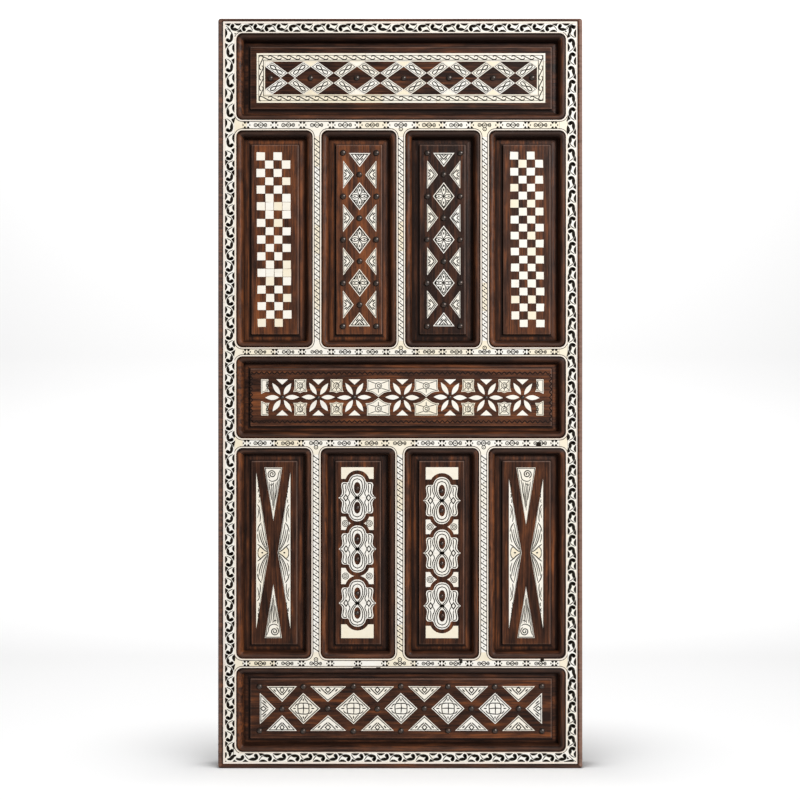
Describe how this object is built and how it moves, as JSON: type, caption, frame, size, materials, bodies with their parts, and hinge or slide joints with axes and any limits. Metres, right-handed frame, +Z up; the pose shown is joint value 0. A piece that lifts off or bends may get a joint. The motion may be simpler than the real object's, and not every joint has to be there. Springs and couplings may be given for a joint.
{
  "type": "bone-inlaid door leaf",
  "caption": "Framed and panelled wooden door leaf, its frame faced with scroll-cut bone and its fielded panels inlaid with bone lattices, checkers, flowers and cartouches.",
  "frame": {"origin": "middle of the flat hanging edge, half way up the leaf and half way through its depth", "axes": "+Z up the leaf, +X from the hanging edge across the leaf, -Y out of the inlaid face"},
  "size_m": [0.962, 0.05, 1.98],
  "materials": {
    "wood": "old dark oiled wood",
    "panel_wood": "old reddish brown oiled wood",
    "bone": "polished aged bone"
  },
  "bodies": {
    "root": {"bone_border": "bone", "bone_checker_left": "bone", "bone_checker_right": "bone", "bone_lattice_top": "bone", "bone_lower_muntin_1": "bone", "bone_lower_muntin_2": "bone", "bone_lower_muntin_3": "bone", "bone_rail_1": "bone", "bone_rail_2": "bone", "bone_rail_3": "bone", "bone_rail_4": "bone", "bone_upper_muntin_1": "bone", "bone_upper_muntin_2": "bone", "bone_upper_muntin_3": "bone", "bone_wedge_left_bottom": "bone", "bone_wedge_left_left": "bone", "bone_wedge_left_right": "bone", "bone_wedge_left_top": "bone", "bone_wedge_right_bottom": "bone", "bone_wedge_right_left": "bone", "bone_wedge_right_right": "bone", "bone_wedge_right_top": "bone", "bottom_rail": "wood", "cross_rail_1": "wood", "cross_rail_2": "wood", "cross_rail_3": "wood", "cross_rail_4": "wood", "edge_bead": "wood", "left_stile": "wood", "lower_muntin_1": "wood", "lower_muntin_2": "wood", "lower_muntin_3": "wood", "moulding_bottom": "wood", "moulding_lower_1": "wood", "moulding_lower_2": "wood", "moulding_lower_3": "wood", "moulding_lower_4": "wood", "moulding_middle": "wood", "moulding_top": "wood", "moulding_upper_1": "wood", "moulding_upper_2": "wood", "moulding_upper_3": "wood", "moulding_upper_4": "wood", "panel_bottom": "panel_wood", "panel_lower_1": "panel_wood", "panel_lower_2": "panel_wood", "panel_lower_3": "panel_wood", "panel_lower_4": "panel_wood", "panel_middle": "panel_wood", "panel_top": "panel_wood", "panel_upper_1": "panel_wood", "panel_upper_2": "panel_wood", "panel_upper_3": "panel_wood", "panel_upper_4": "panel_wood", "right_stile": "wood", "top_rail": "wood", "upper_muntin_1": "wood", "upper_muntin_2": "wood", "upper_muntin_3": "wood"}
  },
  "joints": []
}
